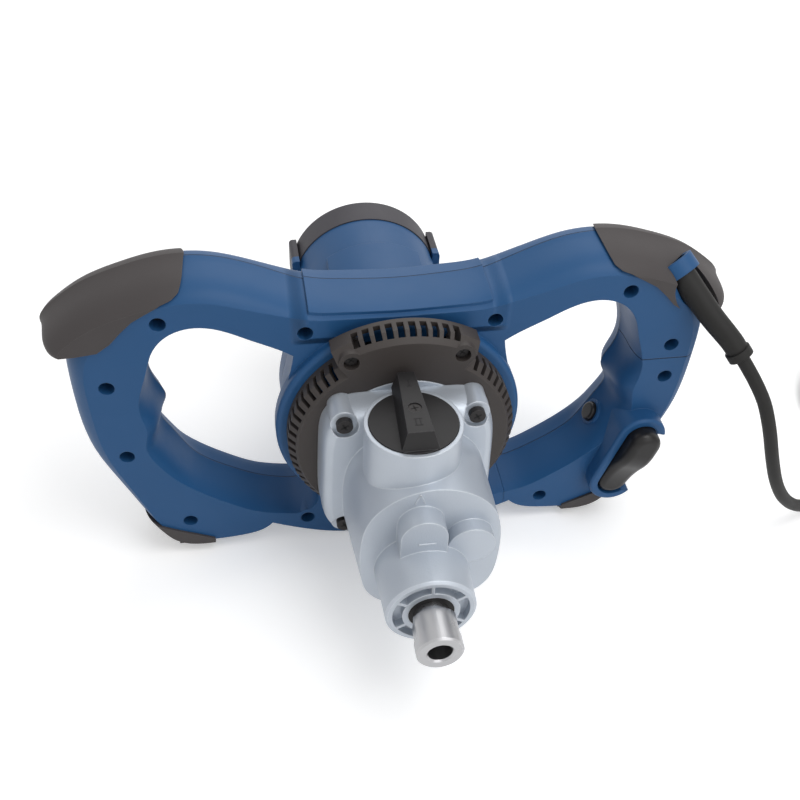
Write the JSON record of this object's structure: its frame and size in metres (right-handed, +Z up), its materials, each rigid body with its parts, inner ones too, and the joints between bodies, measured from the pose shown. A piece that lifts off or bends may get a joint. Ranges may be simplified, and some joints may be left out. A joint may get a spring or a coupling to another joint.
{
  "type": "mixing drill",
  "caption": "Two-handled electric mixing drill with an open grip frame, rear motor, cast gearbox with a speed dial, threaded output spindle, trigger and coiled mains cord.",
  "frame": {"origin": "on the floor under the middle of the tool's box, cord left out", "axes": "+X towards the trigger grip, +Y from the spindle towards the motor's end cap, +Z up towards the speed dial"},
  "size_m": [0.6625, 0.302, 0.2013],
  "materials": {
    "blue_shell": "satin",
    "dark_rubber": "matte",
    "cord_rubber": "matte",
    "seal_rubber": "matte",
    "grey_plastic": "matte",
    "black_plastic": "matte",
    "gloss_black": "gloss",
    "cast_aluminium": "cast, satin",
    "black_screws": "black oxide",
    "steel": "ground",
    "bearing_steel": "ground",
    "core_steel": "laminated",
    "copper": "wound",
    "carbon": "matte",
    "plug_brass": "plated"
  },
  "bodies": {
    "frame": {"brush_holders": "black_plastic", "brush_springs": "steel", "capacitor": "black_plastic", "carbon_brushes": "carbon", "change_shaft_rear_bearing": "bearing_steel", "coil_tie": "black_plastic", "cord_coil": "cord_rubber", "cord_plug": "cord_rubber", "cord_run": "cord_rubber", "cord_sleeve": "cord_rubber", "end_cap_screws": "black_screws", "gear_side_shell": "blue_shell", "gearbox_housing": "cast_aluminium", "gearbox_plate": "cast_aluminium", "gearbox_screws": "black_screws", "inner_bearing_plate": "cast_aluminium", "left_corner_bumper": "dark_rubber", "left_foot_pad": "dark_rubber", "motor_end_cap": "grey_plastic", "motor_front_bearing": "bearing_steel", "motor_housing": "blue_shell", "motor_rear_bearing": "bearing_steel", "motor_side_shell": "blue_shell", "plug_pins": "plug_brass", "right_corner_bumper": "dark_rubber", "right_foot_pad": "dark_rubber", "ring_screws": "black_screws", "shell_screws": "black_screws", "small_bearings": "bearing_steel", "spindle_inner_bearing": "bearing_steel", "spindle_outer_bearing": "bearing_steel", "spindle_rear_bearing": "bearing_steel", "spindle_seal": "seal_rubber", "stator_core": "core_steel", "stator_windings": "copper", "switch_cover": "blue_shell", "switch_module": "black_plastic", "trigger_spring": "steel", "vent_ring": "black_plastic"},
    "armature": {"armature_shaft": "steel", "armature_core": "core_steel", "armature_windings": "copper", "commutator": "copper", "cooling_fan": "black_plastic"},
    "layshaft": {"layshaft": "steel", "layshaft_gear": "steel"},
    "change_shaft": {"change_shaft": "steel", "low_gear": "steel"},
    "high_gear": {"high_gear": "steel"},
    "shift_sleeve": {"shift_sleeve": "steel"},
    "spindle": {"output_spindle": "steel", "output_gear": "steel", "spindle_clip": "steel"},
    "selector": {"selector_dial": "black_plastic", "dial_screw": "black_screws", "dial_clip": "steel"},
    "trigger": {"trigger": "gloss_black", "switch_plunger": "black_plastic"},
    "lock_button": {"lock_button": "gloss_black"}
  },
  "joints": [
    {"name": "armature_spin", "type": "hinge", "parent": "frame", "child": "armature", "pos_m": [0, 0.0245, 0.1004], "axis": [0, 1, 0], "continuous": true},
    {"name": "layshaft_spin", "type": "hinge", "parent": "frame", "child": "layshaft", "pos_m": [0.02225, -0.0605, 0.08955], "axis": [0, 1, 0], "continuous": true},
    {"name": "change_shaft_spin", "type": "hinge", "parent": "frame", "child": "change_shaft", "pos_m": [0, -0.0605, 0.1004], "axis": [0, 1, 0], "continuous": true},
    {"name": "high_gear_spin", "type": "hinge", "parent": "frame", "child": "high_gear", "pos_m": [0, -0.0455, 0.1004], "axis": [0, 1, 0], "continuous": true},
    {"name": "spindle_spin", "type": "hinge", "parent": "frame", "child": "spindle", "pos_m": [0, -0.1055, 0.06915], "axis": [0, 1, 0], "continuous": true},
    {"name": "selector_turn", "type": "hinge", "parent": "frame", "child": "selector", "pos_m": [-0.002, -0.0616, 0.1474], "axis": [0, 0, 1], "range_deg": [0, 180]},
    {"name": "sleeve_slide", "type": "slide", "parent": "change_shaft", "child": "shift_sleeve", "axis": [0, 1, 0], "range_m": [0, 0.006]},
    {"name": "trigger_press", "type": "slide", "parent": "frame", "child": "trigger", "axis": [0, 1, 0], "range_m": [0, 0.006], "stiffness_N_per_m": 600, "springref_m": -0.004},
    {"name": "lock_button_press", "type": "slide", "parent": "frame", "child": "lock_button", "axis": [0.8949, 0, -0.4462], "range_m": [0, 0.003], "stiffness_N_per_m": 500, "springref_m": -0.002}
  ],
  "couplings": [
    {"joint": "layshaft_spin", "follows": "armature_spin", "ratio": -0.19565},
    {"joint": "change_shaft_spin", "follows": "armature_spin", "ratio": 0.088359},
    {"joint": "high_gear_spin", "follows": "armature_spin", "ratio": 0.14298},
    {"joint": "spindle_spin", "follows": "armature_spin", "ratio": -0.031045},
    {"joint": "sleeve_slide", "follows": "selector_turn", "m_per_rad": 0.0019099}
  ]
}
